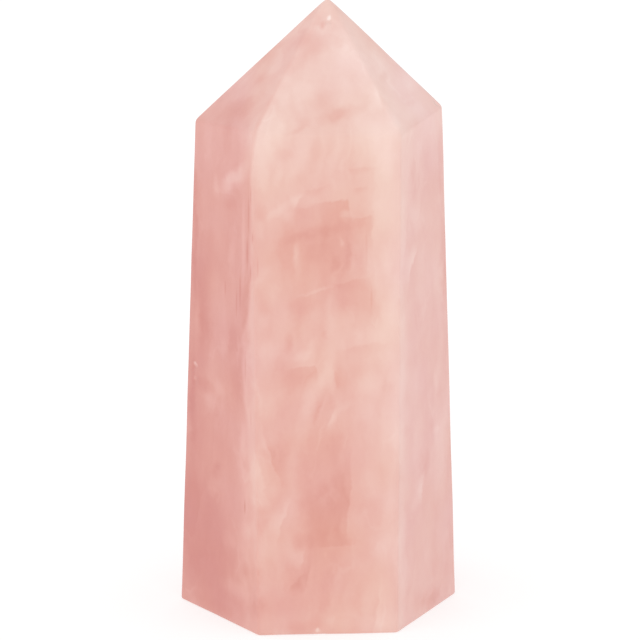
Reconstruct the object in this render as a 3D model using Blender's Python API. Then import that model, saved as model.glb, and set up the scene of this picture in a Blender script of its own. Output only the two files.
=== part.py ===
"""A rose quartz point: one stone, cut and polished to six upright sides, a six-sided tip and a flat base.

A standalone Blender script. It works in metres with +Z up. The base lies on z = 0 with its middle at the
origin, the front side looks along -Y, and the tip points along +Z.
"""
import math

import bmesh
import bpy
from mathutils import Vector

NODE_NAME = "rose_quartz_point"
MM = 0.001

# Driving dimensions, in millimetres and degrees

HEIGHT = 90.0
APEX_OFFSET_RIGHT = 1.3

# The upright edges, anticlockwise seen from above: the x and y of the foot, and the height of the shoulder
# where the edge ends and the tip begins.
UPRIGHT_EDGES = {
    "left": (-20.6, 0.1, 72.3),
    "front_left": (-9.8, -17.85, 72.5),
    "front_right": (10.3, -17.85, 72.0),
    "right": (20.6, -0.1, 74.1),
    "back_right": (10.2, 17.85, 73.5),
    "back_left": (-10.2, 17.85, 72.6),
}

# How far each side leans inward from upright. A side runs from the edge that it is named after to the next.
SIDE_LEANS = {
    "left": 1.7,
    "front_left": 3.6,
    "front_right": 1.5,
    "right": 2.1,
    "back_right": 2.0,
    "back_left": 2.0,
}

# The polishing wheel takes the sharpness off every edge.
POLISHED_EDGE = 0.35
POLISHED_EDGE_SEGMENTS = 2
SHARP_ABOVE = 35.0

STONE_PINK = (0.83, 0.50, 0.44, 1.0)
STONE_ROUGHNESS = 0.18
QUARTZ_IOR = 1.544


def clear_scene():
    for thing in list(bpy.data.objects):
        bpy.data.objects.remove(thing, do_unlink=True)


def foot(edge_name):
    x, y, _ = UPRIGHT_EDGES[edge_name]
    return Vector((x, y, 0.0)) * MM


def side_normal(edge_name, next_name):
    """The outward normal of the side between two upright edges, tilted up by the side's lean."""
    along = (foot(next_name) - foot(edge_name)).normalized()
    outward = Vector((along.y, -along.x, 0.0))
    lean = math.radians(SIDE_LEANS[edge_name])
    return outward * math.cos(lean) + Vector((0.0, 0.0, math.sin(lean)))


def shoulder(edge_name, normal_before, normal_after):
    """The upper end of an upright edge, which is the line where its two sides meet."""
    direction = normal_before.cross(normal_after)
    height = UPRIGHT_EDGES[edge_name][2] * MM
    return foot(edge_name) + direction * (height / direction.z)


def cut_stone():
    """The stone with sharp edges: a base, a ring of sides, and a ring of tip facets that meet at the apex."""
    names = list(UPRIGHT_EDGES)
    count = len(names)
    normals = [side_normal(names[i], names[(i + 1) % count]) for i in range(count)]
    stone = bmesh.new()
    feet = [stone.verts.new(foot(name)) for name in names]
    shoulders = [stone.verts.new(shoulder(names[i], normals[i - 1], normals[i])) for i in range(count)]
    apex = stone.verts.new(Vector((APEX_OFFSET_RIGHT, 0.0, HEIGHT)) * MM)
    stone.faces.new(list(reversed(feet)))
    for i in range(count):
        after = (i + 1) % count
        stone.faces.new((feet[i], feet[after], shoulders[after], shoulders[i]))
        stone.faces.new((shoulders[i], shoulders[after], apex))
    return stone


def polish_edges(stone):
    bmesh.ops.bevel(
        stone,
        geom=list(stone.edges),
        offset=POLISHED_EDGE * MM,
        offset_type="OFFSET",
        segments=POLISHED_EDGE_SEGMENTS,
        profile=0.5,
        affect="EDGES",
        clamp_overlap=True,
    )


def stone_material():
    material = bpy.data.materials.new("rose_quartz")
    material.use_nodes = True
    shader = material.node_tree.nodes["Principled BSDF"]
    shader.inputs["Base Color"].default_value = STONE_PINK
    shader.inputs["Roughness"].default_value = STONE_ROUGHNESS
    shader.inputs["Metallic"].default_value = 0.0
    shader.inputs["IOR"].default_value = QUARTZ_IOR
    return material


def build_point():
    stone = cut_stone()
    polish_edges(stone)
    mesh = bpy.data.meshes.new(NODE_NAME)
    stone.to_mesh(mesh)
    stone.free()
    mesh.shade_smooth()
    mesh.set_sharp_from_angle(angle=math.radians(SHARP_ABOVE))
    mesh.materials.append(stone_material())
    point = bpy.data.objects.new(NODE_NAME, mesh)
    bpy.context.scene.collection.objects.link(point)
    return point


clear_scene()
build_point()
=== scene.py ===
"""The looks of a rose quartz point: a polished, milky pink stone on a plain pale studio floor."""
import math

import bpy
import numpy as np
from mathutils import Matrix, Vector, noise
from mathutils.bvhtree import BVHTree


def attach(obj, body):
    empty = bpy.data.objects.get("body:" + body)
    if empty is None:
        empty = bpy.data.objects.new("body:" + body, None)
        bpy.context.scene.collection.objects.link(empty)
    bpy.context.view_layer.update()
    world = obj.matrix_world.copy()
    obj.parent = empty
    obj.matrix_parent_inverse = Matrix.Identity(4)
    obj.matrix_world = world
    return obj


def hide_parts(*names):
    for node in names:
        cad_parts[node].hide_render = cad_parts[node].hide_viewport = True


NODE = "rose_quartz_point"
MM = 0.001

# The camera, as far as its place can be told from the stone's corners in the picture. It stands a little to
# the left of the front side and looks down on the tower.

CAMERA_DISTANCE = 460.0 * MM
CAMERA_AZIMUTH = -3.6
CAMERA_ELEVATION = 13.17
CAMERA_AIM = Vector((0.21, 0.0, 42.35)) * MM
CAMERA_VIEW_ANGLE = 11.64

# The grain of the mesh, in quads

COLUMNS_PER_SIDE = 48
SIDE_ROWS = 190
TIP_ROWS = 70
BASE_RINGS = (0.004, 0.012, 0.03, 0.08, 0.2, 0.45, 0.75)
CROWDING_TO_EDGES = 0.75

# The polish: how round the edges are, how much the tip is worn, and how far the sides are from truly flat.
# With each step, the points come nearer to the rounded surface.

ROUNDING_STEPS = 5
EDGE_ROUNDING = 0.117 * MM
EDGE_WEAR = 0.4
EDGE_WEAR_SIZE = 9.0 * MM
TIP_ROUNDING = 0.19 * MM
TIP_ROUNDING_REACH = 3.0 * MM
SIDE_WAVE_DEPTH = 0.05 * MM
SIDE_WAVE_SIZE = 11.0 * MM

# The finest marks of polishing, which are in the material: how rough it is at its best and its worst, how
# large such patches are in mm, and the size and depth of its ripples

POLISH_ROUGHNESS = (0.16, 0.26)
POLISH_PATCH_SIZE = 6.0
RIPPLE_SIZE = 1.5 * MM
RIPPLE_DEPTH = 0.008 * MM

# Small chips: how far right of the axis and how high they are, seen from the front, and their radius and
# depth, all in mm

CHIPS = {
    "beside the apex": (1.25, 86.6, 0.55, 0.22),
    "on the left edge": (-18.3, 36.2, 0.6, 0.2),
    "lower on the left edge": (-18.2, 34.0, 0.45, 0.12),
    "on the front foot": (-0.6, 0.25, 0.5, 0.2),
    "on the right shoulder": (17.0, 74.6, 0.8, 0.2),
}


def direction_from(azimuth, elevation):
    """The unit vector that points from the stone to someone at this azimuth and elevation, in degrees."""
    a = math.radians(azimuth)
    e = math.radians(elevation)
    return Vector((math.sin(a) * math.cos(e), -math.cos(a) * math.cos(e), math.sin(e)))


# The facets, read from the frame: how alike two faces of one facet are, and how large a facet is at least

SAME_DIRECTION = 0.99999
SAME_DISTANCE = 0.05 * MM
SMALLEST_FACET_AREA = 60.0 * MM * MM


def facet_planes(stone):
    """[normal, offset] of each large flat face, without the narrow polished edges."""
    found = []
    for polygon in stone.data.polygons:
        normal = polygon.normal.copy()
        offset = normal.dot(polygon.center)
        for plane in found:
            if plane[0].dot(normal) > SAME_DIRECTION and abs(plane[1] - offset) < SAME_DISTANCE:
                plane[2] += polygon.area
                break
        else:
            found.append([normal, offset, polygon.area])
    return [plane[:2] for plane in found if plane[2] > SMALLEST_FACET_AREA]


def sorted_facets(planes):
    """The base, the sides and the tip facets, each ring anticlockwise seen from above."""

    def around(plane):
        return math.atan2(plane[0].y, plane[0].x)

    base = [plane for plane in planes if plane[0].z < -0.9]
    sides = [plane for plane in planes if abs(plane[0].z) < 0.3]
    tips = [plane for plane in planes if plane[0].z > 0.3]
    return base[0], sorted(sides, key=around), sorted(tips, key=around)


def meeting_point(*planes):
    normals = np.array([plane[0] for plane in planes])
    offsets = np.array([plane[1] for plane in planes])
    return np.linalg.lstsq(normals, offsets, rcond=None)[0]


# The stone's mesh


def crowded(count):
    """Steps from 0 to 1, closer together towards both ends."""
    even = np.linspace(0.0, 1.0, count + 1)
    eased = 0.5 - 0.5 * np.cos(math.pi * even)
    return (1.0 - CROWDING_TO_EDGES) * even + CROWDING_TO_EDGES * eased


def sharp_grid(base, sides, tips):
    """Points on the sharp-edged stone, one row above another, and the two points that close it."""
    count = len(sides)
    feet = [meeting_point(base, sides[i - 1], sides[i]) for i in range(count)]
    shoulders = [meeting_point(sides[i - 1], sides[i], tips[i - 1], tips[i]) for i in range(count)]
    apex = meeting_point(*tips)
    middle = np.mean(feet, axis=0)
    foot_row = []
    shoulder_row = []
    for i in range(count):
        after = (i + 1) % count
        for u in crowded(COLUMNS_PER_SIDE)[:-1]:
            foot_row.append(feet[i] * (1 - u) + feet[after] * u)
            shoulder_row.append(shoulders[i] * (1 - u) + shoulders[after] * u)
    foot_row = np.array(foot_row)
    shoulder_row = np.array(shoulder_row)
    rows = [foot_row * (1 - s) + middle * s for s in reversed(BASE_RINGS)]
    rows += [foot_row * (1 - v) + shoulder_row * v for v in crowded(SIDE_ROWS)]
    rows += [shoulder_row * (1 - v) + apex * v for v in crowded(TIP_ROWS)[1:-1]]
    return np.array(rows), middle, apex


def wear(points):
    """A smooth random value for each point, between 0 and 1."""
    return np.array([0.5 + 0.5 * noise.noise(Vector(p) / EDGE_WEAR_SIZE) for p in points])


def polished(points, planes, apex):
    """Moves the points in to a surface like the sharp one, with its edges rounded."""
    normals = np.array([plane[0] for plane in planes])
    offsets = np.array([plane[1] for plane in planes])
    rounding = EDGE_ROUNDING * (1 - EDGE_WEAR + 2 * EDGE_WEAR * wear(points))
    near_apex = np.exp(-((np.linalg.norm(points - apex, axis=1) / TIP_ROUNDING_REACH) ** 2))
    rounding = rounding + (TIP_ROUNDING - rounding) * near_apex
    for _ in range(ROUNDING_STEPS):
        outside = (points @ normals.T - offsets) / rounding[:, None]
        highest = outside.max(axis=1, keepdims=True)
        share = np.exp(outside - highest)
        total = share.sum(axis=1, keepdims=True)
        depth = rounding * (highest[:, 0] + np.log(total[:, 0]))
        slope = (share / total) @ normals
        points = points - slope * (depth / (slope**2).sum(axis=1))[:, None]
    return points, slope / np.linalg.norm(slope, axis=1, keepdims=True)


def waved(points, outward):
    """Presses the sides in a little, unevenly, as hand polishing does. The base stays flat."""
    places = (Vector(p) / SIDE_WAVE_SIZE for p in points)
    depth = np.array([0.5 + 0.5 * noise.noise(place) for place in places]) * SIDE_WAVE_DEPTH
    depth[outward[:, 2] < -0.5] = 0.0
    return points - outward * depth[:, None]


def chipped(points, outward, chips):
    for centre, radius, depth in chips:
        reach = np.linalg.norm(points - np.array(centre), axis=1) / radius
        bite = np.where(reach < 1.0, (1.0 - reach**2) ** 2, 0.0)
        points = points - outward * (bite * depth)[:, None]
    return points


def stone_faces(rows, columns):
    """Quads between neighbouring rows, and a fan at each end. The two closing points come last."""
    faces = []
    for row in range(rows - 1):
        for column in range(columns):
            after = (column + 1) % columns
            low = row * columns
            high = low + columns
            faces.append((low + column, low + after, high + after, high + column))
    bottom = rows * columns
    top = bottom + 1
    last = (rows - 1) * columns
    for column in range(columns):
        after = (column + 1) % columns
        faces.append((bottom, after, column))
        faces.append((last + column, last + after, top))
    return faces


def seen_in_front(cad_tree, across, up):
    """The point that is seen from the front this far right of the axis and this high, in mm."""
    well_in_front = -200.0
    start = Vector((across, well_in_front, up)) * MM
    hit = cad_tree.ray_cast(start, Vector((0.0, 1.0, 0.0)))[0]
    if hit is None:
        raise ValueError(f"the stone isn't seen at {across}, {up}")
    return hit


def build_stone(base, sides, tips, cad_tree):
    grid, middle, apex = sharp_grid(base, sides, tips)
    rows, columns = grid.shape[:2]
    points = np.vstack([grid.reshape(-1, 3), middle, apex])
    points, outward = polished(points, [base, *sides, *tips], apex)
    points = waved(points, outward)
    chips = [(seen_in_front(cad_tree, x, z), r * MM, d * MM) for x, z, r, d in CHIPS.values()]
    points = chipped(points, outward, chips)
    mesh = bpy.data.meshes.new("polished_stone")
    mesh.from_pydata([tuple(p) for p in points], [], stone_faces(rows, columns))
    mesh.shade_smooth()
    stone = bpy.data.objects.new("polished_stone", mesh)
    bpy.context.scene.collection.objects.link(stone)
    return stone


# Shader building, in short calls


def add_node(tree, kind, inputs=None, **settings):
    """A new node with its settings, and with each named input set to a value or linked to a socket."""
    made = tree.nodes.new(kind)
    for name, value in settings.items():
        setattr(made, name, value)
    for name, value in (inputs or {}).items():
        if isinstance(value, bpy.types.NodeSocket):
            tree.links.new(value, made.inputs[name])
        else:
            made.inputs[name].default_value = value
    return made


def calc(tree, operation, a, b=0.0, c=0.0):
    return add_node(tree, "ShaderNodeMath", {0: a, 1: b, 2: c}, operation=operation).outputs[0]


def vector_calc(tree, operation, a, b=(0.0, 0.0, 0.0)):
    made = add_node(tree, "ShaderNodeVectorMath", {0: a, 1: b}, operation=operation)
    return made.outputs["Value" if operation in ("LENGTH", "DOT_PRODUCT", "DISTANCE") else "Vector"]


def scaled(tree, vector, factor):
    made = add_node(tree, "ShaderNodeVectorMath", {0: vector}, operation="SCALE")
    made.inputs["Scale"].default_value = factor
    return made.outputs["Vector"]


def smooth_range(tree, value, low, high, to_low=0.0, to_high=1.0):
    made = add_node(
        tree,
        "ShaderNodeMapRange",
        {"Value": value, "From Min": low, "From Max": high, "To Min": to_low, "To Max": to_high},
        interpolation_type="SMOOTHSTEP",
    )
    return made.outputs["Result"]


def noise_at(tree, place, size, detail=2.0, roughness=0.5, distortion=0.0, output="Fac"):
    """Soft random values around 0.5, in blotches of about this size in mm."""
    made = add_node(
        tree,
        "ShaderNodeTexNoise",
        {
            "Vector": place,
            "Scale": 1.0 / size,
            "Detail": detail,
            "Roughness": roughness,
            "Distortion": distortion,
        },
    )
    return made.outputs[output]


# Veils: the soft and sharp-edged clouds inside the stone, and, drawn the same way, the painted glow beside
# the front edges. A cut is as soft as this share of the veil's size, the middle share is solid, and each
# veil is spread a little and is deeper than wide.

CUT_SIDES = {"left": (1, 0, 0), "right": (-1, 0, 0), "foot": (0, 0, 1), "top": (0, 0, -1)}
CUT_SOFTNESS = 0.22
SOLID_SHARE = 0.1
SPREAD = 1.35
DEPTH_TO_WIDTH = 2.5


# The tone of plain stone, and what the height adds to it: from which height to which in mm, and from what
# to what

BASE_TONE = 0.36
HEIGHT_TONES = (
    (54.0, 76.0, 0.0, 0.27),
    (0.0, 34.0, -0.06, 0.0),
    (0.5, 5.0, 0.1, 0.0),
)

# How far behind the axis the hidden side begins, softly, in mm

HIDDEN_FROM = (-8.0, 6.0)

# The noises: their sizes in mm, and how far each moves the place, in mm, or the tone to both sides. A grain
# is a lean to the right in degrees and a stretch along it.

DRIFT_SIZE = 5.0
DRIFT_REACH = 1.6
RUFFLE_SIZE = 1.3
RUFFLE_REACH = 0.9
CLOUD_SIZE = 11.0
CLOUD_CHANGE = 0.16
BANK_GRAIN = (25.0, 1.6)
BANK_SIZE = 13.0
BANK_CHANGE = 0.6
STREAK_GRAIN = (22.0, 2.6)
STREAK_SIZE = 3.2
STREAK_CHANGE = 0.18
STREAK_SIDES_FROM = (9.5, 12.5)
STREAK_SIDE_SHARE = 0.6
WISP_GRAIN = (30.0, 1.8)
WISP_SIZE = 6.0
WISP_THICKNESS = 0.04
WISP_CHANGE = 0.06
WISP_PATCH_SIZE = 7.0
WISP_PATCHES = (0.5, 0.65)
SPECK_SIZE = 0.6
SPECK_CHANGE = 0.02

# Ledges are layers that show where the clouds are palest, and on the front side only by a share. Each rises
# across its width and falls in the last part of it, and its mean is taken off.

LEDGE_GRAIN = (60.0, 2.2)
LEDGE_SIZE = 9.0
LEDGE_COUNT = 5.0
LEDGE_CHANGE = 0.14
LEDGE_FALL = (0.9, 1.0)
LEDGE_MEAN = 0.45
LEDGE_CLOUDS = (0.45, 0.62)
FRONT_LEDGE_SHARE = 0.35

# The step in the tone, left of which the stone is darker, partly in its own deeper pink and partly as
# painted shade
# of the left facets: how dark, up to the tip, how far and how often its line wavers, and how wide it is
# where it is crisp and, low down, where it is soft. The line is given by how far right of the axis it is at
# each height.

STEP_DARKNESS = -0.24
STEP_TIP_DARKNESS = -0.12
STEP_TIP_FROM = (72.0, 86.0)
STEP_WAVER = 0.5
STEP_WAVER_SIZE = 8.0
STEP_CRISP = (-0.3, 0.3)
STEP_SOFT = (-2.2, 1.8)
STEP_CRISP_FROM = (24.0, 36.0)
STEP_LINE = (
    (0.0, -10.6),
    (6.0, -11.3),
    (12.0, -11.5),
    (18.0, -11.1),
    (30.0, -10.9),
    (34.0, -11.5),
    (43.0, -11.7),
    (47.0, -10.7),
    (65.0, -10.4),
    (70.0, -9.9),
    (73.0, -9.4),
    (90.0, 1.0),
)


def veil_group(cuts):
    """A node group that adds one veil to a tone: an ellipsoid that fades out or ends at a cut."""
    group = bpy.data.node_groups.new(f"veil with {cuts} cuts", "ShaderNodeTree")
    cut_fields = [f"Cut {number}" for number in range(cuts)]
    for field in ("Place", "Centre", "Turn", "Half size", *cut_fields):
        group.interface.new_socket(field, in_out="INPUT", socket_type="NodeSocketVector")
    for field in ("Change", "Tone"):
        group.interface.new_socket(field, in_out="INPUT", socket_type="NodeSocketFloat")
    group.interface.new_socket("Tone", in_out="OUTPUT", socket_type="NodeSocketFloat")
    given = group.nodes.new("NodeGroupInput").outputs
    inside = add_node(
        group,
        "ShaderNodeMapping",
        {
            "Vector": given["Place"],
            "Location": given["Centre"],
            "Rotation": given["Turn"],
            "Scale": given["Half size"],
        },
        vector_type="TEXTURE",
    ).outputs["Vector"]
    amount = smooth_range(group, vector_calc(group, "LENGTH", inside), SOLID_SHARE, 1.0, 1.0, 0.0)
    for field in cut_fields:
        past_cut = vector_calc(group, "DOT_PRODUCT", inside, given[field])
        amount = calc(group, "MULTIPLY", amount, smooth_range(group, past_cut, -CUT_SOFTNESS, CUT_SOFTNESS))
    tone = calc(group, "MULTIPLY_ADD", amount, given["Change"], given["Tone"])
    add_node(group, "NodeGroupOutput", {"Tone": tone})
    return group


# Each veil: how far right of the axis and how high it is, in mm as seen from the front, its half width and
# half length, its lean to the right in degrees, and how much paler (or, below 0, darker) it makes the stone.
# One that ends sharply on one or two sides, as a fracture does, names them, and its place is on that edge or
# corner. The rows are listed one by one, and many were set by comparing a render's tone with the picture's.
# The broad ones come first, with some small ones among them, and then the small ones by height.

BROAD_VEILS_AND_EDGE_GLOW = (
    # The long pale bands beside both front edges, about 9 to 10 mm left and right of the axis, are painted
    # light: the glow where light enters the stone through both faces at an edge.
    (-8.8, 72.0, 2.6, 5.0, 0, 0.2),
    (9.0, 66.0, 4.0, 14.0, 0, 0.16),
    (9.2, 32.0, 3.0, 40.0, 0, 0.18),
    (7.0, 56.0, 4.5, 14.0, 0, 0.06, "left"),
    (3.0, 82.0, 6.5, 7.0, 0, 0.12),
    (-9.6, 40.0, 2.0, 16.0, 0, 0.06),
    (-9.6, 20.0, 2.0, 9.0, 0, 0.12),
    (0.5, 56.0, 6.5, 5.5, 0, -0.12),
    (-6.5, 54.0, 2.5, 5.0, 0, -0.1),
    (0.6, 15.0, 4.5, 12.0, 10, -0.08),
    (-2.0, 24.0, 2.0, 7.0, 8, -0.16),
    (-1.4, 15.4, 1.8, 5.2, 0, -0.19),
    (-3.8, 13.6, 1.0, 1.5, 0, -0.1),
    (-18.6, 15.5, 4.6, 8.5, 0, -0.28),
    (-14.0, 10.0, 3.0, 3.6, 20, -0.1),
    (-16.5, 6.0, 5.5, 6.5, 0, -0.26),
    (-18.6, 36.0, 2.6, 19.0, 0, -0.26),
    (-15.0, 34.0, 3.5, 20.0, 0, -0.1),
    (-16.0, 26.0, 3.0, 5.5, 0, -0.08),
    (-3.8, 37.0, 2.6, 1.7, 0, -0.1),
    (-17.8, 66.0, 2.0, 10.0, 0, -0.1),
    (-13.0, 68.0, 3.6, 12.0, 0, -0.16),
    (18.0, 66.0, 3.5, 9.0, 0, -0.1),
    (14.5, 34.0, 5.0, 44.0, 0, 0.05),
    (18.0, 24.0, 1.6, 16.0, 0, 0.08),
    (10.8, 40.0, 1.4, 26.0, 0, 0.08),
    (12.0, 79.0, 6.0, 6.0, 0, 0.12),
    (14.0, 63.5, 2.5, 5.0, 10, -0.06),
    (-16.5, 68.0, 4.0, 9.0, 0, -0.12),
    (-17.0, 48.0, 1.5, 11.0, 0, -0.2),
    (-4.5, 78.5, 4.0, 4.5, 30, 0.12),
    (7.5, 73.5, 3.0, 6.0, 0, 0.14),
    (-8.0, 52.0, 2.2, 6.5, 0, 0.12),
    (9.5, 49.5, 2.0, 7.0, 0, 0.12),
    (3.8, 44.5, 3.4, 4.6, 0, 0.14),
    (6.2, 41.4, 1.9, 3.6, 0, 0.16),
    (1.0, 45.0, 1.2, 6.5, 4, 0.12),
    (-5.8, 44.5, 1.8, 4.0, 0, 0.1),
    (8.0, 79.5, 3.6, 3.0, 30, 0.12),
    (15.6, 64.5, 2.2, 6.0, 0, -0.1),
    (18.4, 47.0, 0.8, 16.0, 0, -0.1),
    (-18.0, 55.5, 0.5, 12.0, 0, -0.2),
    (-18.5, 30.0, 0.6, 9.0, 0, -0.14),
    (-18.1, 45.6, 1.0, 6.0, 0, 0.14),
    (14.8, 50.5, 3.2, 6.0, 0, 0.12),
    (17.6, 67.0, 0.7, 6.0, 0, -0.12),
    (13.8, 74.4, 2.4, 1.8, 0, 0.16),
    (-10.3, 8.4, 0.9, 9.5, 0, -0.16),
    (-13.2, 5.4, 2.4, 1.5, 0, 0.15),
    (-11.4, 8.8, 0.8, 1.5, 0, -0.17),
    (-11.6, 2.8, 1.2, 1.9, 0, -0.1),
    (-11.3, 14.8, 0.8, 1.5, 0, 0.09),
    (-13.8, 12.0, 1.3, 1.7, 0, 0.1),
    (-15.4, 14.2, 2.4, 3.4, 0, -0.08),
    (11.0, 9.6, 1.0, 11.0, 0, 0.12),
    (-11.6, 27.4, 0.7, 3.4, 0, 0.12),
    (-1.1, 2.0, 1.3, 1.5, 0, -0.1),
    (-15.4, 1.2, 4.2, 1.4, 0, -0.11),
    (-3.6, 1.2, 3.8, 1.1, 0, -0.12),
    (16.4, 1.8, 2.7, 2.0, 0, -0.14),
    (-15.3, 21.8, 0.9, 1.5, 0, -0.09),
    (-16.2, 18.8, 0.9, 1.3, 0, 0.08),
    (6.3, 1.4, 2.2, 1.5, 0, 0.08),
    (1.3, 1.6, 1.0, 1.3, 0, 0.09),
    (-3.4, 7.9, 0.6, 1.0, 0, 0.09),
    (10.2, 11.8, 0.8, 4.2, 0, 0.07),
    (6.0, 4.6, 1.0, 2.6, 0, 0.12),
    (-2.8, 32.0, 1.2, 7.5, 17, 0.14),
    (-2.0, 58.5, 6.0, 3.0, 0, -0.08),
    (12.5, 77.5, 3.0, 2.4, 0, 0.12),
    (13.4, 30.0, 1.6, 12.0, 0, 0.08),
)

TIP_VEILS = (
    (1.2, 87.3, 0.45, 0.45, 0, 0.5),
    (-0.3, 86.8, 1.2, 1.6, 30, -0.18),
    (0.4, 86.2, 0.5, 0.8, 25, -0.25),
    (-2.9, 84.2, 1.1, 2.4, 50, -0.18),
    (-7.2, 81.2, 1.2, 1.8, 45, -0.1),
    (-1.0, 83.4, 1.4, 2.0, 48, -0.16),
    (-3.6, 81.4, 1.2, 2.4, 52, -0.08),
    (4.2, 82.6, 2.6, 3.2, -30, 0.18),
    (8.0, 76.6, 1.5, 1.8, 0, 0.16, "right"),
    (10.0, 76.4, 1.6, 2.0, 0, 0.08),
    (8.9, 79.2, 0.7, 1.2, 20, -0.14),
    (0.2, 76.4, 1.9, 1.5, 0, -0.12),
    (-3.6, 73.8, 0.8, 1.6, 0, -0.08),
    (-6.2, 73.0, 0.9, 2.4, 0, 0.1),
    (-9.2, 73.6, 0.5, 2.0, 10, -0.1),
    (-2.1, 77.7, 1.7, 1.4, 0, 0.09),
    (-5.7, 78.5, 1.8, 1.1, 0, -0.1),
    (3.1, 78.2, 1.4, 1.2, 0, 0.06),
    (1.5, 74.5, 1.1, 2.4, 68, -0.16),
    (3.4, 74.9, 0.8, 2.8, 72, -0.14),
    (-4.1, 76.0, 1.0, 1.6, 0, -0.08),
    (8.6, 81.2, 1.2, 2.2, -40, 0.1),
    (2.9, 83.8, 0.9, 1.3, 0, -0.08),
    (-2.6, 73.9, 0.6, 1.0, 70, -0.1),
    (-3.9, 72.9, 0.5, 1.4, 65, -0.1),
    (-11.6, 74.8, 1.3, 3.2, 75, -0.18),
    (-11.6, 72.2, 1.0, 1.4, 0, 0.08),
    (-13.4, 72.0, 0.8, 4.0, 0, -0.1),
    (-6.5, 80.5, 0.8, 1.6, 50, 0.1),
    (-8.5, 78.7, 1.2, 1.4, 40, -0.08),
    (13.0, 75.3, 0.6, 1.5, 75, -0.1),
)

UPPER_VEILS = (
    (-12.9, 65.1, 1.1, 3.6, 40, 0.3),
    (-14.9, 63.6, 0.6, 1.8, -8, 0.18),
    (-13.6, 62.7, 1.6, 1.4, 0, 0.08, "foot"),
    (-11.5, 66.5, 1.1, 2.4, 20, 0.18),
    (-13.2, 61.4, 0.9, 2.2, 65, -0.1),
    (-5.9, 69.6, 1.4, 1.2, 0, -0.12),
    (1.0, 68.5, 2.0, 2.5, 0, -0.06),
    (5.2, 67.6, 2.2, 1.0, -6, -0.1, "top"),
    (5.0, 64.8, 1.3, 1.0, -10, -0.12, "top"),
    (-1.2, 64.7, 2.0, 1.1, -14, -0.1, "top"),
    (-3.6, 62.6, 1.3, 1.2, 30, 0.2, "right"),
    (-6.5, 61.3, 0.7, 2.2, 50, 0.14),
    (3.3, 63.2, 6.0, 4.4, -9, -0.2, "top", "right"),
    (3.1, 60.6, 0.9, 1.0, 0, 0.18),
    (-1.4, 60.2, 1.1, 5.0, 0, 0.1),
    (6.6, 60.7, 4.0, 3.4, -9, -0.14, "top", "right"),
    (-2.8, 61.8, 2.2, 2.0, -10, -0.08, "top"),
    (-1.4, 58.0, 0.9, 5.2, 78, -0.1),
    (-3.9, 55.4, 0.6, 1.8, 10, 0.12),
    (-1.2, 55.6, 2.4, 2.0, 0, -0.08),
    (3.1, 55.0, 0.7, 2.6, 12, -0.12),
    (1.3, 53.8, 0.6, 1.6, 5, -0.1),
    (2.3, 56.8, 0.4, 0.7, 0, 0.12),
    (3.6, 53.8, 0.8, 1.4, 0, 0.08),
    (13.1, 64.8, 1.1, 3.6, 0, -0.16),
    (14.8, 67.6, 1.2, 2.4, 0, -0.08),
    (11.0, 73.6, 2.3, 2.8, 0, 0.14),
    (12.7, 52.8, 1.5, 3.0, 15, 0.26, "right"),
    (13.5, 59.6, 1.3, 2.6, 0, 0.12),
    (-13.0, 54.4, 0.7, 4.0, 0, 0.12),
    (-15.6, 54.0, 1.0, 3.6, 0, -0.08),
    (-10.7, 52.0, 0.7, 4.6, 0, -0.05),
    (-4.0, 67.6, 1.3, 3.6, 10, 0.13),
    (4.8, 70.8, 0.9, 4.6, 0, 0.12),
    (-1.6, 69.4, 1.1, 2.8, 16, -0.14),
    (-3.8, 66.0, 0.9, 2.0, 20, -0.1),
    (1.2, 69.0, 0.9, 3.0, 20, 0.12),
    (-5.2, 60.8, 1.2, 0.9, 0, 0.1),
    (-9.0, 66.4, 1.2, 3.0, 0, 0.12),
    (-6.3, 66.4, 0.9, 2.0, 20, 0.1),
    (-9.0, 61.0, 1.1, 1.5, 0, -0.1),
    (-9.2, 58.4, 0.9, 1.6, 0, 0.12),
    (-8.9, 48.8, 1.2, 2.0, 0, -0.12),
    (3.6, 76.0, 1.6, 1.6, 0, 0.08),
)

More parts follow.
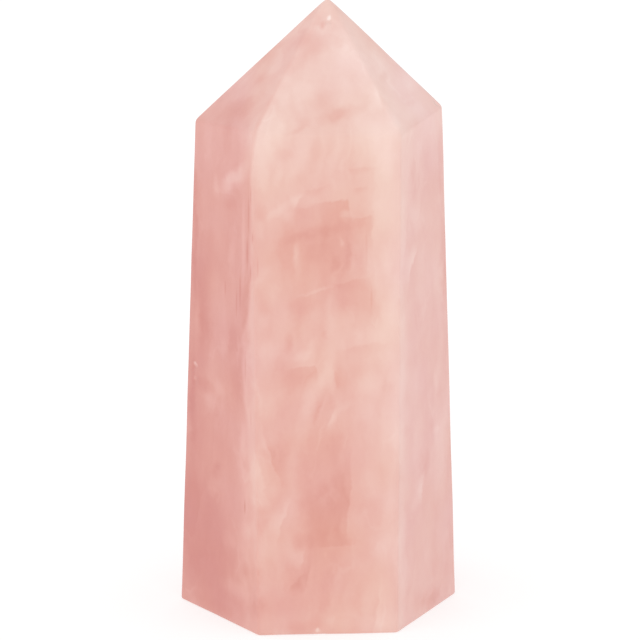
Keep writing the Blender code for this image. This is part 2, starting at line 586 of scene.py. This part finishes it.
MIDDLE_VEILS = (
    (-14.5, 46.5, 1.0, 4.0, 0, 0.06),
    (-12.9, 41.6, 1.0, 2.6, 5, -0.18),
    (-11.2, 45.0, 0.7, 5.0, 0, -0.1),
    (-11.3, 38.5, 1.0, 6.5, 0, -0.1),
    (-16.1, 42.2, 0.8, 2.4, 0, -0.14),
    (-17.7, 42.8, 0.7, 2.8, 0, 0.15),
    (-8.6, 34.4, 1.6, 3.0, 0, 0.09),
    (-10.6, 35.8, 0.6, 3.6, 0, -0.08),
    (-16.8, 34.0, 1.8, 1.3, 0, -0.12),
    (-15.8, 31.8, 1.6, 1.4, 0, 0.1),
    (-11.8, 36.4, 1.8, 3.6, 0, -0.14, "right"),
    (-14.3, 40.5, 0.9, 1.7, 0, 0.1),
    (-14.9, 34.4, 0.8, 1.4, 0, 0.1),
    (-18.2, 36.3, 0.45, 0.45, 0, 0.5),
    (-18.1, 34.3, 0.35, 0.4, 0, 0.2),
    (-8.2, 47.6, 1.0, 1.4, 20, -0.1),
    (-3.4, 48.0, 2.2, 1.6, 0, -0.08),
    (-1.2, 50.0, 0.3, 2.8, 78, 0.12),
    (3.5, 51.2, 2.8, 4.2, -10, -0.12, "top"),
    (6.5, 53.0, 1.4, 2.8, 0, 0.16),
    (7.1, 49.6, 1.1, 2.0, 0, 0.09),
    (8.8, 54.2, 1.2, 2.4, 0, 0.1),
    (-2.6, 56.2, 1.0, 1.5, 0, 0.08),
    (-4.0, 53.8, 0.8, 2.4, 0, 0.08),
    (10.9, 55.4, 1.0, 3.0, 0, 0.09),
    (-2.8, 44.6, 1.1, 1.9, 0, 0.08),
    (-2.0, 41.8, 0.9, 1.1, 0, 0.07),
    (8.9, 40.2, 1.4, 1.7, 0, 0.08),
    (0.9, 36.2, 0.7, 1.3, 0, 0.08),
    (3.8, 47.6, 3.0, 1.6, 0, -0.1),
    (7.3, 44.0, 1.3, 1.8, 0, 0.08),
    (4.1, 45.2, 1.2, 1.3, 0, -0.08),
    (-1.5, 46.3, 1.1, 1.8, 0, 0.08),
    (-5.2, 42.6, 0.7, 1.7, 10, -0.15),
    (0.0, 43.6, 0.5, 0.8, 0, -0.1),
    (-3.4, 40.8, 0.9, 1.4, 60, 0.12),
    (0.8, 41.0, 1.2, 3.0, 20, 0.08),
    (5.4, 42.2, 3.4, 1.6, -10, -0.1, "top"),
    (-1.4, 39.3, 4.4, 2.8, -6, -0.15, "top", "right"),
    (0.1, 37.6, 1.1, 2.6, 20, 0.15),
    (0.4, 33.4, 0.8, 1.5, 20, -0.08),
    (-4.2, 27.8, 1.2, 2.4, 0, -0.08),
    (2.4, 42.0, 0.9, 1.8, 0, 0.08),
    (1.4, 37.4, 2.6, 2.0, -12, -0.14, "left"),
    (8.9, 36.0, 1.2, 1.3, 0, -0.08),
    (6.3, 36.9, 1.6, 1.8, 0, 0.1),
    (2.6, 38.2, 1.0, 1.8, 0, 0.08),
    (12.1, 41.4, 0.9, 2.2, 0, 0.07),
    (13.8, 45.2, 1.2, 2.8, 0, -0.08),
    (17.2, 49.0, 1.0, 5.0, 0, 0.1),
    (-0.8, 32.8, 1.3, 2.4, 20, -0.14, "right"),
    (5.4, 32.4, 1.6, 1.8, 0, 0.11),
    (11.9, 31.4, 0.9, 2.2, 0, 0.08),
    (16.3, 28.0, 0.9, 1.7, 0, -0.09),
    (17.7, 30.8, 0.9, 3.2, 0, -0.12),
    (0.7, 31.6, 0.9, 1.4, 25, 0.2, "left"),
    (2.6, 33.3, 0.7, 1.8, 60, 0.08),
    (9.6, 30.2, 1.7, 3.2, 0, 0.16),
    (17.0, 34.4, 0.8, 2.3, 0, 0.1),
    (17.0, 27.0, 1.0, 0.8, 0, 0.1),
    (17.8, 23.0, 1.6, 6.0, 0, 0.08),
    (13.3, 38.5, 1.0, 2.0, 0, -0.06),
    (-8.4, 38.2, 1.3, 2.0, 0, 0.08),
    (-8.2, 41.2, 1.5, 2.6, 0, 0.18),
    (6.0, 35.8, 1.8, 3.0, 10, 0.1),
    (5.2, 30.2, 1.8, 3.0, 10, 0.06),
)

LOWER_VEILS = (
    (-9.2, 23.6, 1.5, 4.6, -14, 0.12, "right"),
    (-7.9, 28.6, 1.1, 1.9, 0, 0.1),
    (-9.5, 22.6, 0.7, 1.3, 0, -0.09),
    (-7.5, 21.2, 0.9, 1.3, 0, 0.08),
    (-4.2, 22.6, 0.9, 2.2, 0, -0.08),
    (-0.5, 21.4, 0.9, 1.8, 0, -0.08),
    (3.2, 21.6, 0.6, 2.0, 0, 0.09),
    (-10.3, 15.6, 0.8, 1.3, 0, 0.09),
    (15.4, 22.2, 0.8, 2.2, 0, -0.08),
    (-7.9, 26.5, 3.4, 4.6, -18, -0.2, "left"),
    (-6.0, 16.6, 2.0, 3.4, 15, 0.2, "right"),
    (-9.0, 18.3, 0.9, 1.6, 70, -0.1),
    (-8.2, 12.6, 2.0, 1.5, 0, 0.08),
    (-10.8, 17.6, 0.7, 2.6, 0, -0.1),
    (-11.8, 22.8, 0.8, 2.0, 0, 0.08),
    (-3.5, 11.2, 2.0, 1.4, 10, 0.14, "right"),
    (3.4, 19.7, 4.8, 6.6, 3, -0.2, "right"),
    (1.6, 13.0, 3.2, 3.4, -4, -0.12, "foot"),
    (0.4, 26.6, 1.6, 3.2, 15, -0.12),
    (-4.4, 8.0, 1.8, 2.0, 35, -0.13, "left"),
    (-2.6, 8.6, 2.0, 2.6, 14, -0.14, "right"),
    (-9.9, 8.8, 0.9, 1.7, 0, -0.08),
    (-10.0, 3.9, 1.4, 1.7, 20, -0.1),
    (1.6, 6.6, 0.8, 3.6, 14, 0.1),
    (3.8, 4.2, 1.2, 1.4, 0, -0.06),
    (7.0, 6.4, 1.1, 2.0, 0, 0.08),
    (7.2, 3.6, 3.6, 4.6, 8, 0.16, "left"),
    (9.8, 1.0, 2.6, 2.6, 0, 0.12),
    (-15.5, 20.0, 1.4, 1.5, 0, 0.08),
    (-15.0, 22.5, 0.5, 0.6, 0, -0.1),
    (14.6, 19.4, 1.3, 2.2, 8, 0.26, "right"),
    (12.2, 20.2, 1.0, 2.0, 0, 0.08),
    (14.4, 23.0, 1.6, 2.2, 0, -0.1),
    (13.2, 18.0, 1.1, 2.0, 10, 0.1),
    (14.0, 2.5, 1.4, 1.6, 0, -0.08),
    (-1.0, 0.7, 0.45, 0.4, 0, 0.4),
    (-9.2, 16.4, 1.3, 2.0, 0, -0.18),
    (-8.6, 26.4, 0.9, 1.4, 0, -0.08),
    (16.2, 1.6, 2.0, 1.4, 0, -0.12),
    (6.4, 21.8, 1.8, 2.8, 0, 0.14),
    (8.8, 13.0, 1.4, 3.4, 0, 0.12),
    (1.1, 13.6, 1.1, 1.6, 10, 0.09),
    (2.9, 16.0, 0.8, 1.5, 0, 0.09),
    (-2.4, 13.6, 0.8, 1.7, 0, -0.08),
    (-5.2, 12.4, 1.0, 2.2, 0, 0.08),
    (8.7, 18.8, 1.4, 2.6, 0, 0.08),
    (4.6, 16.5, 1.0, 1.5, 0, 0.08),
    (-18.0, 20.5, 1.4, 3.2, 0, 0.08),
)

# The fine straight strokes beside the left front edge: across, up, half width, half length, change

STROKES = (
    (-10.7, 61.0, 0.16, 3.6, -0.16),
    (-10.4, 63.5, 0.12, 1.6, -0.2),
    (-11.4, 57.0, 0.3, 7.5, 0.12),
    (-10.9, 55.3, 0.2, 2.6, -0.2),
    (-10.5, 52.6, 0.16, 1.2, -0.2),
    (-10.2, 57.6, 0.14, 0.9, -0.2),
    (-9.5, 53.4, 0.14, 1.6, -0.14),
    (-11.9, 49.5, 0.18, 3.0, -0.18),
    (-12.4, 47.5, 0.14, 2.2, -0.16),
    (-13.9, 49.2, 0.16, 1.2, -0.14),
    (-11.3, 38.5, 0.14, 2.6, -0.16),
    (-10.6, 31.5, 0.12, 1.8, -0.14),
    (-11.5, 18.2, 0.16, 1.2, -0.26),
    (5.9, 56.0, 0.2, 3.0, -0.08),
    (6.6, 48.8, 0.2, 2.0, -0.12),
)


def add_veil(tree, groups, place, tone, cad_tree, veil):
    across, up, half_width, half_length, lean, change, *cuts = veil
    half_size = Vector((half_width, half_width * DEPTH_TO_WIDTH, half_length)) * SPREAD
    inputs = {
        "Place": place,
        "Centre": seen_in_front(cad_tree, across, up) / MM,
        "Turn": (0.0, math.radians(lean), 0.0),
        "Half size": half_size,
        "Change": change,
        "Tone": tone,
    }
    for number, side in enumerate(cuts):
        inputs[f"Cut {number}"] = Vector(CUT_SIDES[side]) * half_size
    return add_node(tree, "ShaderNodeGroup", inputs, node_tree=groups[len(cuts)]).outputs["Tone"]


WAITING_SHARE = 1e-6


def place_after(tree, place, tone):
    """The same place, but known only after the tone. A long row of veils that all wait for nothing but the
    place would need more memory at once than a shader has."""
    return vector_calc(tree, "ADD", place, calc(tree, "MULTIPLY", tone, WAITING_SHARE))


def colour_ramp(tree, tone, stops):
    ramp = add_node(tree, "ShaderNodeValToRGB", {"Fac": tone})
    elements = ramp.color_ramp.elements
    while len(elements) < len(stops):
        elements.new(0.5)
    for element, (at, rgb) in zip(elements, stops):
        element.position = (at - TONE_FLOOR) / (TONE_CEILING - TONE_FLOOR)
        element.color = (*[linear(value) for value in rgb], 1.0)
    return ramp.outputs["Color"]


def mixed_colour(tree, share, first, second):
    """The first colour where the share is 0 and the second where it is 1."""
    mix = add_node(tree, "ShaderNodeMix", data_type="RGBA")
    factor, a, b = [socket for socket in mix.inputs if socket.enabled]
    tree.links.new(share, factor)
    tree.links.new(first, a)
    tree.links.new(second, b)
    return next(socket for socket in mix.outputs if socket.enabled)


def linear(value):
    """A screen colour value from 0 to 255 as linear light."""
    share = value / 255
    return share / 12.92 if share <= 0.04045 else ((share + 0.055) / 1.055) ** 2.4


# The stone's colours from its deepest pink to its palest cream, on its warm and on its cool side

TONE_FLOOR = -0.25
TONE_CEILING = 1.25
PEACH_STOPS = (
    (-0.25, (209, 132, 117)),
    (0.0, (218, 149, 134)),
    (0.25, (227, 168, 152)),
    (0.5, (233, 187, 172)),
    (0.75, (239, 203, 189)),
    (1.0, (248, 218, 206)),
    (1.25, (252, 231, 222)),
)
ROSE_STOPS = (
    (-0.25, (206, 130, 124)),
    (0.0, (215, 147, 139)),
    (0.25, (225, 166, 160)),
    (0.5, (233, 185, 179)),
    (0.75, (240, 201, 195)),
    (1.0, (247, 217, 212)),
    (1.25, (252, 231, 227)),
)


def centred(tree, value, reach):
    """A noise value moved to lie around 0, as far as this to each side."""
    return calc(tree, "MULTIPLY", calc(tree, "SUBTRACT", value, 0.5), 2.0 * reach)


def grain_place(tree, place, grain):
    """The place, leaned to the right and pressed together along the grain, so that noise runs in streaks."""
    lean, stretch = grain
    turn = (0.0, math.radians(-lean), 0.0)
    size = (1.0, 1.0, 1.0 / stretch)
    made = add_node(tree, "ShaderNodeMapping", {"Vector": place, "Rotation": turn, "Scale": size})
    return made.outputs["Vector"]


def drift_at(tree, place, size, detail, reach):
    """A soft random shift in mm, which makes straight forms ragged."""
    shift = noise_at(tree, place, size, detail=detail, output="Color")
    return scaled(tree, vector_calc(tree, "SUBTRACT", shift, (0.5, 0.5, 0.5)), reach)


def wisps(tree, place, size, thickness):
    """Thin lines that wind through the stone, 1 on the line and 0 beside it."""
    away = calc(tree, "ABSOLUTE", calc(tree, "SUBTRACT", noise_at(tree, place, size, detail=3.0), 0.5))
    return smooth_range(tree, away, 0.0, thickness, 1.0, 0.0)


def ledges(tree, place):
    """Layers that grow paler across their width and end in a crisp edge, as a glassy fracture's steps do."""
    level = calc(tree, "MULTIPLY", noise_at(tree, place, LEDGE_SIZE, detail=1.0), LEDGE_COUNT)
    rise = calc(tree, "FRACT", level)
    step = calc(tree, "MULTIPLY", rise, smooth_range(tree, rise, *LEDGE_FALL, 1.0, 0.0))
    return calc(tree, "MULTIPLY", calc(tree, "SUBTRACT", step, LEDGE_MEAN), LEDGE_CHANGE)


def line_at(tree, height, points):
    """How far right a line lies at a height. Each of its points is a height and how far right it is."""
    top = points[-1][0]
    reach = max(abs(across) for _, across in points)
    share = calc(tree, "DIVIDE", height, top)
    curve = add_node(tree, "ShaderNodeFloatCurve", {"Value": share})
    dots = curve.mapping.curves[0].points
    while len(dots) < len(points):
        dots.new(0.5, 0.5)
    for dot, (up, across) in zip(dots, points):
        dot.location = (up / top, 0.5 + 0.5 * across / reach)
        dot.handle_type = "VECTOR"
    curve.mapping.update()
    return calc(tree, "MULTIPLY", calc(tree, "SUBTRACT", curve.outputs["Value"], 0.5), 2.0 * reach)


def darker_left_and_painted_shade(tree, place, spot):
    """The darker tone left of a line beside the left front edge and the tip's, crisp except low down: partly
    the stone's deeper pink, partly painted shade of the left facets.
    """
    along = add_node(tree, "ShaderNodeMapping", {"Vector": place, "Scale": (0.0, 0.0, 1.0)})
    waver = noise_at(tree, along.outputs["Vector"], STEP_WAVER_SIZE, detail=3.0)
    beside = calc(tree, "SUBTRACT", spot["X"], line_at(tree, spot["Z"], STEP_LINE))
    beside = calc(tree, "ADD", beside, centred(tree, waver, STEP_WAVER))
    crisp = smooth_range(tree, beside, *STEP_CRISP, 1.0, 0.0)
    soft = smooth_range(tree, beside, *STEP_SOFT, 1.0, 0.0)
    crispness = smooth_range(tree, spot["Z"], *STEP_CRISP_FROM)
    share = calc(tree, "MULTIPLY_ADD", calc(tree, "SUBTRACT", crisp, soft), crispness, soft)
    darkness = smooth_range(tree, spot["Z"], *STEP_TIP_FROM, STEP_DARKNESS, STEP_TIP_DARKNESS)
    return calc(tree, "MULTIPLY", share, darkness)


def plain_tone(tree, place, drifted, spot):
    """The tone without the veils: the changes with height, the step, and noises of several kinds."""
    tone = BASE_TONE
    for low, high, to_low, to_high in HEIGHT_TONES:
        tone = calc(tree, "ADD", tone, smooth_range(tree, spot["Z"], low, high, to_low, to_high))
    # the darker left side: partly the stone's deeper pink, partly painted shade of the left facets
    tone = calc(tree, "ADD", tone, darker_left_and_painted_shade(tree, place, spot))
    clouds = noise_at(tree, place, CLOUD_SIZE, detail=2.0)
    tone = calc(tree, "ADD", tone, centred(tree, clouds, CLOUD_CHANGE))

    # wide banks of cloud, on the hidden side only
    banks = noise_at(tree, grain_place(tree, drifted, BANK_GRAIN), BANK_SIZE, detail=3.0, roughness=0.6)
    hidden = smooth_range(tree, spot["Y"], *HIDDEN_FROM)
    tone = calc(tree, "MULTIPLY_ADD", centred(tree, banks, BANK_CHANGE), hidden, tone)

    # streaks along the grain, weaker to the left and right of the front side
    streaks = noise_at(tree, grain_place(tree, drifted, STREAK_GRAIN), STREAK_SIZE, detail=3.0)
    across = calc(tree, "ABSOLUTE", spot["X"])
    streaks_show = smooth_range(tree, across, *STREAK_SIDES_FROM, 1.0, STREAK_SIDE_SHARE)
    tone = calc(tree, "MULTIPLY_ADD", centred(tree, streaks, STREAK_CHANGE), streaks_show, tone)

    # ledges in the palest clouds, weaker on the front side, which has its own veils
    layers = ledges(tree, grain_place(tree, drifted, LEDGE_GRAIN))
    cloudy = smooth_range(tree, clouds, *LEDGE_CLOUDS)
    behind = smooth_range(tree, spot["Y"], *HIDDEN_FROM, FRONT_LEDGE_SHARE, 1.0)
    tone = calc(tree, "MULTIPLY_ADD", layers, calc(tree, "MULTIPLY", cloudy, behind), tone)

    # thin lines in some places, and specks everywhere
    where = smooth_range(tree, noise_at(tree, place, WISP_PATCH_SIZE), *WISP_PATCHES)
    lines = wisps(tree, grain_place(tree, drifted, WISP_GRAIN), WISP_SIZE, WISP_THICKNESS)
    tone = calc(tree, "MULTIPLY_ADD", calc(tree, "MULTIPLY", lines, where), WISP_CHANGE, tone)
    specks = noise_at(tree, place, SPECK_SIZE, detail=1.0)
    return calc(tree, "ADD", tone, centred(tree, specks, SPECK_CHANGE))


def stone_tone_with_painted_light(tree, place, cad_tree):
    """How pale the stone is drawn, from 0 in its deepest pink to 1 in its palest cream, with painted glow
    beside the front edges and painted shade on the left.
    """
    spot = add_node(tree, "ShaderNodeSeparateXYZ", {"Vector": place}).outputs
    drifted = vector_calc(tree, "ADD", place, drift_at(tree, place, DRIFT_SIZE, 3.0, DRIFT_REACH))
    drifted = vector_calc(tree, "ADD", drifted, drift_at(tree, place, RUFFLE_SIZE, 2.0, RUFFLE_REACH))
    tone = plain_tone(tree, place, drifted, spot)
    groups = [veil_group(cuts) for cuts in range(3)]
    for veils in (BROAD_VEILS_AND_EDGE_GLOW, TIP_VEILS, UPPER_VEILS, MIDDLE_VEILS, LOWER_VEILS):
        for veil in veils:
            tone = add_veil(tree, groups, drifted, tone, cad_tree, veil)
        drifted = place_after(tree, drifted, tone)
    place = place_after(tree, place, tone)
    for across, up, half_width, half_length, change in STROKES:
        upright = (across, up, half_width, half_length, 0, change)
        tone = add_veil(tree, groups, place, tone, cad_tree, upright)
    return tone


# How peach the pink is: on the front side, beside it from these distances right or left of the axis in mm,
# and what the tip and a noise add to it

FRONT_WARMTH = 0.72
SIDE_WARMTH = 0.3
WARMTH_SIDES_FROM = (8.0, 12.5)
TIP_WARMTH = -0.2
WARMTH_TIP_FROM = (72.0, 82.0)
WARMTH_PATCH_SIZE = 9.0
WARMTH_CHANGE = 0.5


def warmth_of(tree, place):
    """From 0 where the pink is coolest to 1 where it is peach."""
    spot = add_node(tree, "ShaderNodeSeparateXYZ", {"Vector": place}).outputs
    across = calc(tree, "ABSOLUTE", spot["X"])
    warmth = smooth_range(tree, across, *WARMTH_SIDES_FROM, FRONT_WARMTH, SIDE_WARMTH)
    warmth = calc(tree, "ADD", warmth, smooth_range(tree, spot["Z"], *WARMTH_TIP_FROM, 0.0, TIP_WARMTH))
    patches = noise_at(tree, place, WARMTH_PATCH_SIZE, detail=1.0)
    return calc(tree, "ADD", warmth, centred(tree, patches, WARMTH_CHANGE))


# How strongly quartz bends light

QUARTZ_IOR = 1.544


def quartz_material(cad_tree):
    material = bpy.data.materials.new("rose_quartz")
    material.use_nodes = True
    tree = material.node_tree
    shader = tree.nodes["Principled BSDF"]
    place = scaled(tree, add_node(tree, "ShaderNodeTexCoord").outputs["Object"], 1.0 / MM)
    tone = stone_tone_with_painted_light(tree, place, cad_tree)
    warmth = warmth_of(tree, place)
    span = {"Value": tone, "From Min": TONE_FLOOR, "From Max": TONE_CEILING}
    tone = add_node(tree, "ShaderNodeMapRange", span).outputs["Result"]
    rose = colour_ramp(tree, tone, ROSE_STOPS)
    peach = colour_ramp(tree, tone, PEACH_STOPS)
    tree.links.new(mixed_colour(tree, warmth, rose, peach), shader.inputs["Base Color"])
    polish = noise_at(tree, place, POLISH_PATCH_SIZE, detail=4.0, roughness=0.6)
    roughness = smooth_range(tree, polish, 0.3, 0.7, *POLISH_ROUGHNESS)
    tree.links.new(roughness, shader.inputs["Roughness"])
    ripple = noise_at(tree, place, RIPPLE_SIZE / MM, detail=2.0)
    bump = add_node(tree, "ShaderNodeBump", {"Height": ripple, "Strength": 1.0, "Distance": RIPPLE_DEPTH})
    tree.links.new(bump.outputs["Normal"], shader.inputs["Normal"])
    shader.inputs["IOR"].default_value = QUARTZ_IOR
    return material


# The studio: how bright the dome is, how much that changes across it, and where it is brightest, and the
# floor, which glows a little so that it stays white

DOME_STRENGTH = 0.88
DOME_SHADE = 0.2
BRIGHT_AZIMUTH = -30.0
BRIGHT_ELEVATION = 40.0
FLOOR_RADIUS = 4.0
FLOOR_HEIGHT = -0.05 * MM
FLOOR_GREY = 0.5
FLOOR_GLOW = 0.57


def build_floor():
    middle = (0.0, 0.0, FLOOR_HEIGHT)
    bpy.ops.mesh.primitive_circle_add(vertices=96, radius=FLOOR_RADIUS, fill_type="NGON", location=middle)
    floor = bpy.context.object
    floor.name = "studio_floor"
    material = bpy.data.materials.new("studio_floor")
    material.use_nodes = True
    shader = material.node_tree.nodes["Principled BSDF"]
    shader.inputs["Base Color"].default_value = (FLOOR_GREY, FLOOR_GREY, FLOOR_GREY, 1.0)
    shader.inputs["Emission Color"].default_value = (1.0, 1.0, 1.0, 1.0)
    shader.inputs["Emission Strength"].default_value = FLOOR_GLOW
    shader.inputs["Roughness"].default_value = 0.9
    shader.inputs["Specular IOR Level"].default_value = 0.1
    floor.data.materials.append(material)


def build_lights():
    """An even white dome, like a light tent, that is brighter towards the upper left of the front."""
    world = bpy.data.worlds.new("studio_white")
    world.use_nodes = True
    tree = world.node_tree
    toward = add_node(tree, "ShaderNodeTexCoord").outputs["Generated"]
    brightest = tuple(direction_from(BRIGHT_AZIMUTH, BRIGHT_ELEVATION))
    side = vector_calc(tree, "DOT_PRODUCT", toward, brightest)
    strength = calc(tree, "MULTIPLY_ADD", side, DOME_SHADE, DOME_STRENGTH)
    tree.links.new(strength, tree.nodes["Background"].inputs["Strength"])
    tree.nodes["Background"].inputs["Color"].default_value = (1.0, 1.0, 1.0, 1.0)
    bpy.context.scene.world = world


def build_camera():
    camera = bpy.data.objects.new("camera", bpy.data.cameras.new("camera"))
    bpy.context.scene.collection.objects.link(camera)
    back = direction_from(CAMERA_AZIMUTH, CAMERA_ELEVATION)
    a = math.radians(CAMERA_AZIMUTH)
    right = Vector((math.cos(a), math.sin(a), 0.0))
    aim = right * CAMERA_AIM.x + Vector((0.0, 0.0, CAMERA_AIM.z))
    camera.location = aim + back * CAMERA_DISTANCE
    camera.rotation_euler = back.to_track_quat("Z", "Y").to_euler()
    camera.data.angle = math.radians(CAMERA_VIEW_ANGLE)
    camera.data.clip_start = 0.01
    camera.data.clip_end = 20.0
    bpy.context.scene.camera = camera


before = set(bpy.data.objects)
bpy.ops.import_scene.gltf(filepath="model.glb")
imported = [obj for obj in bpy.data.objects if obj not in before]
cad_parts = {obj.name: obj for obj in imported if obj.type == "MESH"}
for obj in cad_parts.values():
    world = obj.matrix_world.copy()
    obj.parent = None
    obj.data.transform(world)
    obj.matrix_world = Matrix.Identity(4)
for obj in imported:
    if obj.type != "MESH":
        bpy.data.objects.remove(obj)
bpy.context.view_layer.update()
cad_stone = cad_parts[NODE]
cad_tree = BVHTree.FromObject(cad_stone, bpy.context.evaluated_depsgraph_get())
base, sides, tips = sorted_facets(facet_planes(cad_stone))
stone = build_stone(base, sides, tips, cad_tree)
stone.data.materials.append(quartz_material(cad_tree))
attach(stone, "root")
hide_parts(NODE)
build_floor()
build_lights()
build_camera()
bpy.context.scene.view_settings.view_transform = "Standard"
